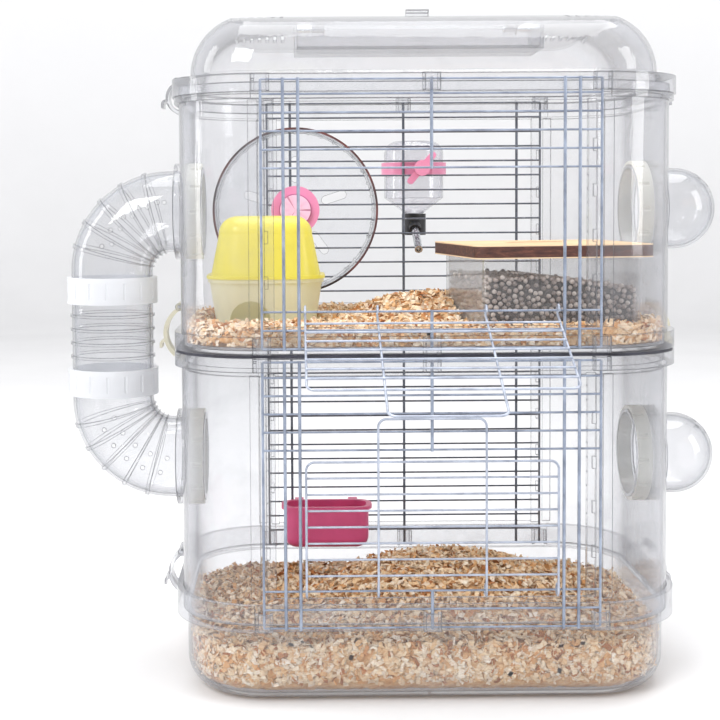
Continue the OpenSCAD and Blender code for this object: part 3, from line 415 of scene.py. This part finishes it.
def plywood(turn):
    """Pale birch face with grain along the board, and burnt edges that show the plies."""
    graph = Graph("plywood")
    low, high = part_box("bath_board")
    straight = (0, 0, -turn)
    warp = graph.noise(16, 3, 0.6, stretch=(0.4, 2, 1), turn=straight)
    grain = graph.noise(240, 5, 0.7, stretch=(0.08, 1, 1), turn=straight)
    fibres = graph.maths("ADD", graph.maths("MULTIPLY", warp, 0.5), graph.maths("MULTIPLY", grain, 0.6))
    face = graph.ramp(fibres, [(0.35, paint(196, 150, 104)), (0.52, paint(222, 184, 140)),
                               (0.72, paint(238, 208, 168))])
    height = graph.add("ShaderNodeSeparateXYZ", {"Vector": graph.place()}).outputs["Z"]
    from_middle = graph.maths("ABSOLUTE", graph.maths("SUBTRACT", height, (low.z + high.z) / 2))
    burnt = graph.ramp(graph.noise(260, 4, 0.7, stretch=(0.4, 1, 2), turn=straight),
                       [(0.3, paint(44, 22, 17)), (0.55, paint(78, 42, 32)), (0.75, paint(112, 68, 50))])
    half = (high.z - low.z) / 2
    outer = graph.span(from_middle, half - 1.0 * MM, half - 0.7 * MM, 0.0, 0.85)
    burnt = graph.blend(outer, burnt, paint(232, 204, 166))
    facing = graph.add("ShaderNodeSeparateXYZ", {"Vector": graph.coordinates.outputs["Normal"]})
    edge = graph.span(graph.maths("ABSOLUTE", facing.outputs["Z"]), 0.4, 0.6, 1.0, 0.0)
    colour = graph.blend(edge, face, burnt)
    normal = graph.bump(grain, 0.25 * MM, 0.5)
    return graph.finish(graph.principled(Base_Color=colour, Roughness=0.6, Normal=normal))


UPPER_WALLS = ("upper_body", "upper_floor", "top_lid")
LOWER_WALLS = ("base_tray", "lower_body")
CLEAR_SOLIDS = ("port_collars", "carry_handle", "handle_tab", "front_clips", "back_clips",
                "latch_upper_left", "latch_upper_right", "latch_lower_left", "latch_lower_right")
TUBES = ("upper_elbow", "lower_elbow", "straight_tube", "upper_dome", "lower_dome")
FRONT_WIRES = ("upper_front_grille", "lower_front_grille")
BACK_WIRES = ("upper_back_grille", "lower_back_grille")
DOOR_WIRES = ("upper_door", "lower_door")
TUBE_RINGS = ("upper_tube_ring", "lower_tube_ring")
NUTS = ("port_nut_upper_left", "port_nut_upper_right", "port_nut_lower_left", "port_nut_lower_right")


def dress():
    """Gives every node that stays on show its material."""
    sets = (
        (UPPER_WALLS, clear_wall("clear_wall_upper", (0.972, 0.973, 0.977, 1))),
        # Painted shade: the lower storey's walls take a darker tint than the upper ones.
        (LOWER_WALLS, clear_wall("clear_wall_lower_painted_shade", (0.945, 0.947, 0.952, 1))),
        (CLEAR_SOLIDS, clear_thick()),
        (TUBES, clear_tube()),
        # One powder coat in three copies: the back grilles' is darker as painted shade, the doors' paler as
        # painted light.
        (FRONT_WIRES, wire_paint("front_wire", paint(104, 112, 128), paint(150, 160, 178))),
        (BACK_WIRES, wire_paint("back_wire_painted_shade", paint(72, 76, 86), paint(104, 110, 122))),
        (DOOR_WIRES, wire_paint("door_wire_painted_light", paint(134, 141, 156), paint(180, 187, 202))),
        (TUBE_RINGS, milky("white_plastic", paint(240, 241, 243), 0.22, 0.3)),
        (NUTS, milky("ivory_plastic", paint(238, 238, 234), 0.5, 0.3)),
        (("latch_middle_left", "latch_middle_right"), milky("cream_plastic", paint(238, 235, 220), 0.3)),
        (("hideout_base",), milky("frosted_cream", paint(247, 246, 232), 0.3, 0.45)),
        (("hideout_roof",), milky("yellow_plastic", paint(252, 246, 134), 0.36)),
        (("wheel_drum",), wheel_plastic()),
        (("wheel_hub",), hub_pink()),
        (("bottle_bracket", "bottle_toggle"), moulded("bracket_pink", paint(240, 152, 188), glow=0.15)),
        (("food_dish",), moulded("dish_pink", paint(228, 96, 148), glow=0.25)),
        (("wheel_mount",), moulded("mount_white", paint(214, 216, 220), glow=0.3)),
        (("bath_tub",), clear_bath()),
        (("bath_board",), plywood(BOARD_TURN)),
        (("bottle_body",), clear_bottle()),
        (("bottle_cap",), black_plastic()),
        (("tier_gasket",), seal_rubber()),
        (("wheel_axle", "bottle_nozzle", "nozzle_ball", "latch_pins", "handle_pins"), bright_steel()),
    )
    for names, material in sets:
        for name in names:
            slots = NODES[name].data.materials
            if not slots:
                slots.append(material)
            for index in range(len(slots)):
                slots[index] = material


# ---------- loose litter ----------

def surface_points(source, count, rng, lowest, highest=1.01):
    """Points spread evenly over the faces whose normal has its Z from lowest to highest, with normals."""
    mesh = source.data
    mesh.calc_loop_triangles()
    places = np.array([v.co for v in mesh.vertices])
    corners = np.array([t.vertices for t in mesh.loop_triangles])
    a, b, c = (places[corners[:, k]] for k in range(3))
    cross = np.cross(b - a, c - a)
    area = np.linalg.norm(cross, axis=1)
    normals = cross / np.maximum(area, 1e-12)[:, None]
    upward = normals[:, 2]
    share = np.where((upward > lowest) & (upward <= highest), area, 0)
    picks = rng.choice(len(area), size=count, p=share / share.sum())
    u, v = rng.random(count), rng.random(count)
    fold = u + v > 1
    u, v = np.where(fold, 1 - u, u), np.where(fold, 1 - v, v)
    points = a[picks] + (b - a)[picks] * u[:, None] + (c - a)[picks] * v[:, None]
    return points, normals[picks]


def piece_from(name, points, faces, tone, material, smooth):
    """A mesh object with one tone per point."""
    mesh = bpy.data.meshes.new(name)
    mesh.from_pydata(points.tolist(), [], faces.tolist() if hasattr(faces, "tolist") else faces)
    attribute = mesh.attributes.new("tone", "FLOAT", "POINT")
    attribute.data.foreach_set("value", np.asarray(tone, np.float32))
    mesh.polygons.foreach_set("use_smooth", [smooth] * len(mesh.polygons))
    mesh.materials.append(material)
    mesh.update()
    made = bpy.data.objects.new(name, mesh)
    bpy.context.scene.collection.objects.link(made)
    return made


def litter_core(name, node, voxel, inset, lumps, bed_shade_tone_range, material, rng):
    """Lumpy body of the litter just under its loose surface, in darker tones than the loose pieces: painted
    shade in the gaps between them.
    """
    source = NODES[node]
    rough = bpy.data.objects.new(name + "_source", source.data.copy())
    bpy.context.scene.collection.objects.link(rough)
    remesh = rough.modifiers.new("remesh", "REMESH")
    remesh.mode = "VOXEL"
    remesh.voxel_size = voxel
    mesh = bpy.data.meshes.new_from_object(rough.evaluated_get(bpy.context.evaluated_depsgraph_get()))
    bpy.data.objects.remove(rough)
    normals = np.array([v.normal for v in mesh.vertices])
    points = np.array([v.co for v in mesh.vertices])
    lump = np.array([noise.noise(Vector(p) * 220) for p in points])
    points += normals * (-inset + lumps * lump)[:, None]
    faces = [list(f.vertices) for f in mesh.polygons]
    tone = rng.uniform(*bed_shade_tone_range, len(points))
    return piece_from(name, points, faces, tone, material, True)


def rotations(normals, rng, tilt):
    """Frames whose third axis is the normal, tilted by chance, and whose first axis points any way."""
    up = normals + tilt[:, None] * rng.normal(size=normals.shape)
    up /= np.linalg.norm(up, axis=1)[:, None]
    side = np.cross(up, rng.normal(size=up.shape))
    side /= np.linalg.norm(side, axis=1)[:, None]
    return np.stack([side, np.cross(up, side), up], axis=2)


def shavings(name, node, on_top, count, seed, material):
    """Curled flakes over the top or the sides of a bedding solid: ruffled on top, flat against the wall."""
    rng = np.random.default_rng(seed)
    slope = (0.6, 1.01) if on_top else (-0.45, 0.6)
    centre, normals = surface_points(NODES[node], count, rng, *slope)
    frames = rotations(normals, rng, np.full(count, 0.55 if on_top else 0.24))
    length = rng.uniform(*FLAKE_LENGTH, count) * MM
    width = rng.uniform(*FLAKE_WIDTH, count) * MM
    radius = rng.uniform(*FLAKE_CURL, count) * MM * rng.choice([-1, 1], count)
    sag = length ** 2 / 8 / radius
    depth = rng.uniform(*(FLAKE_DEPTH_TOP if on_top else FLAKE_DEPTH_SIDE), count) * MM
    centre = centre - normals * depth[:, None]
    rings = 4
    half_thick = FLAKE_HALF_THICK * MM
    points = np.zeros((count, rings, 4, 3))
    for ring in range(rings):
        angle = (ring / (rings - 1) - 0.5) * length / radius
        along = radius * np.sin(angle)
        lift = radius * (1 - np.cos(angle)) - sag / 2
        skew = rng.uniform(-0.7, 0.7, count) * MM
        half = width / 2 * rng.uniform(0.5, 1.0, count)
        out = np.stack([-np.sin(angle), np.zeros(count), np.cos(angle)], axis=1) * half_thick
        middle = np.stack([along, skew, lift], axis=1)
        across = np.stack([np.zeros(count), half, np.zeros(count)], axis=1)
        for corner, (s, t) in enumerate(((-1, 1), (1, 1), (1, -1), (-1, -1))):
            points[:, ring, corner] = middle + s * across + t * out
    points = np.einsum("nij,nrcj->nrci", frames, points) + centre[:, None, None, :]
    low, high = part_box(node)
    rise = Vector((0, 0, FLAKE_RISE * MM)) if on_top else Vector()
    points = np.clip(points, np.array(low) + 0.1 * MM, np.array(high + rise) - 0.1 * MM)
    quads = [[0, 1, 2, 3]]
    for ring in range(rings - 1):
        first, second = 4 * ring, 4 * ring + 4
        for k in range(4):
            n = (k + 1) % 4
            quads.append([first + k, second + k, second + n, first + n])
    last = 4 * (rings - 1)
    quads.append([last + 3, last + 2, last + 1, last])
    pattern = np.array(quads)
    faces = (pattern[None] + (np.arange(count) * rings * 4)[:, None, None]).reshape(-1, 4)
    tone = rng.beta(1.5, 1.1, count)
    return piece_from(name, points.reshape(-1, 3), faces, np.repeat(tone, rings * 4), material, False)


def spread_out(points, normals, spacing):
    """The points that keep a least distance from those before them."""
    taken, kept = {}, []
    for index, cell in enumerate(np.floor(points / spacing).astype(int)):
        near = [taken.get((cell[0] + i, cell[1] + j, cell[2] + k), ())
                for i in (-1, 0, 1) for j in (-1, 0, 1) for k in (-1, 0, 1)]
        if all(np.sum((points[index] - points[n]) ** 2) > spacing ** 2 for group in near for n in group):
            taken.setdefault(tuple(cell), []).append(index)
            kept.append(index)
    return points[kept], normals[kept]


def unit_ball():
    """Points and faces of a small ball of radius 1."""
    ball = bmesh.new()
    bmesh.ops.create_icosphere(ball, subdivisions=2, radius=1.0)
    points = np.array([v.co for v in ball.verts])
    faces = np.array([[v.index for v in f.verts] for f in ball.faces])
    ball.free()
    return points, faces


def clay_balls(name, node, size, tries, seed, material):
    """Balls packed side by side over the sides and top of the bath's filling."""
    rng = np.random.default_rng(seed)
    points, normals = surface_points(NODES[node], tries, rng, -0.5)
    points, normals = spread_out(points - normals * size * 0.5, normals, size * 0.93)
    count = len(points)
    ball, faces = unit_ball()
    radius = size / 2 * rng.uniform(0.9, 1.04, count)
    placed = points[:, None, :] + ball[None] * radius[:, None, None]
    faces = (faces[None] + (np.arange(count) * len(ball))[:, None, None]).reshape(-1, 3)
    tone = np.repeat(rng.uniform(0.3, 1.0, count), len(ball))
    return piece_from(name, placed.reshape(-1, 3), faces, tone, material, True)


def fill_litter():
    """Wood shavings and clay balls in place of the plain bedding solids."""
    wood, clay = shaving_wood(), ball_clay()
    rng = np.random.default_rng(7)
    share = 1.0
    flakes = (
        ("tray_top_shavings", "tray_bedding", True, 7000, 11),
        ("tray_side_shavings", "tray_bedding", False, 6800, 12),
        ("upper_top_shavings", "upper_bedding", True, 5200, 14),
        ("upper_side_shavings", "upper_bedding", False, 3000, 15),
    )
    # The beds take the darker tones of their material: painted shade between the flakes and, nearly black,
    # between the balls.
    beds = (
        ("tray_litter_bed", "tray_bedding", 3.5, 2.6, 2.2, (0.14, 0.42), wood),
        ("upper_litter_bed", "upper_bedding", 3.0, 2.0, 1.8, (0.14, 0.42), wood),
        ("bath_ball_bed", "bath_pellets", 3.0, 2.8, 1.0, (0.0, 0.08), clay),
    )
    made = [(shavings(name, node, on_top, int(count * share), seed, wood), node)
            for name, node, on_top, count, seed in flakes]
    made += [(litter_core(name, node, voxel * MM, inset * MM, lumps * MM, bed_shade_tones, material, rng), node)
             for name, node, voxel, inset, lumps, bed_shade_tones, material in beds]
    made.append((clay_balls("bath_balls", "bath_pellets", BALL_SIZE * MM, 26000, 13, clay), "bath_pellets"))
    for piece, node in made:
        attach(piece, "cage")
        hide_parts(node)


# ---------- camera, light and floor ----------

def add_camera():
    """Level with the upper tier, a little left of the middle and almost square to the front."""
    camera = bpy.data.objects.new("camera", bpy.data.cameras.new("camera"))
    camera.data.sensor_width = 36
    camera.data.lens = 70.13
    camera.data.shift_x = 0.08
    camera.data.shift_y = -0.12
    turn_right, look_down, roll = math.radians(0.4), math.radians(2.94), math.radians(-0.38)
    aim = (Matrix.Rotation(-turn_right, 4, "Z") @ Matrix.Rotation(math.pi / 2 - look_down, 4, "X")
           @ Matrix.Rotation(roll, 4, "Z"))
    camera.matrix_world = Matrix.Translation((-0.0997, -1.1297, 0.3694)) @ aim
    bpy.context.scene.collection.objects.link(camera)
    bpy.context.scene.camera = camera


def add_light(name, place, width, height, power):
    """A soft panel that shines at the middle of the cage and isn't seen itself."""
    light = bpy.data.lights.new(name, "AREA")
    light.shape = "RECTANGLE"
    light.size, light.size_y = width, height
    light.energy = power
    lamp = bpy.data.objects.new(name, light)
    lamp.location = place
    lamp.rotation_euler = (Vector(LIGHT_TARGET) - Vector(place)).to_track_quat("-Z", "Y").to_euler()
    lamp.visible_camera = False
    bpy.context.scene.collection.objects.link(lamp)


def add_stage():
    """Round pale studio floor that curves up into a wall, and soft light from above and the sides."""
    steps, radius, bend = STAGE_STEPS, STAGE_RADIUS, STAGE_BEND
    profile = [(0.0, 0.0), (1.2, 0.0), (radius - bend, 0.0)]
    profile += [(radius - bend + bend * math.sin(a), bend - bend * math.cos(a))
                for a in (math.pi / 2 * k / BEND_STEPS for k in range(1, BEND_STEPS + 1))]
    profile.append((radius, STAGE_TOP))
    points = [(0.0, 0.0, 0.0)]
    for r, z in profile[1:]:
        points += [(r * math.cos(math.tau * k / steps), r * math.sin(math.tau * k / steps), z)
                   for k in range(steps)]
    faces = [(0, 1 + k, 1 + (k + 1) % steps) for k in range(steps)]
    for ring in range(len(profile) - 2):
        first, second = 1 + ring * steps, 1 + (ring + 1) * steps
        faces += [(first + k, second + k, second + (k + 1) % steps, first + (k + 1) % steps)
                  for k in range(steps)]
    mesh = bpy.data.meshes.new("studio_floor")
    mesh.from_pydata(points, [], faces)
    mesh.polygons.foreach_set("use_smooth", [True] * len(mesh.polygons))
    graph = Graph("studio_floor")
    height = graph.add("ShaderNodeSeparateXYZ", {"Vector": graph.place()}).outputs["Z"]
    floor_shade = graph.ramp(graph.noise(3, 3), [(0.3, paint(215, 215, 216)), (0.7, paint(220, 220, 221))])
    shade = graph.blend(graph.span(height, 0.0, bend, 0.0, 1.0), floor_shade, paint(246, 246, 247))
    mesh.materials.append(graph.finish(graph.principled(Base_Color=shade, Roughness=0.7)))
    floor = bpy.data.objects.new("studio_floor", mesh)
    bpy.context.scene.collection.objects.link(floor)

    world = bpy.data.worlds.new("studio")
    world.use_nodes = True
    world.node_tree.nodes["Background"].inputs["Color"].default_value = (1, 1, 1, 1)
    world.node_tree.nodes["Background"].inputs["Strength"].default_value = 0.9
    bpy.context.scene.world = world
    for light in LIGHTS:
        add_light(*light)
    bpy.context.scene.view_settings.view_transform = "Standard"
    bpy.context.scene.cycles.transparent_max_bounces = 64


add_camera()
add_stage()
dress()
fill_litter()
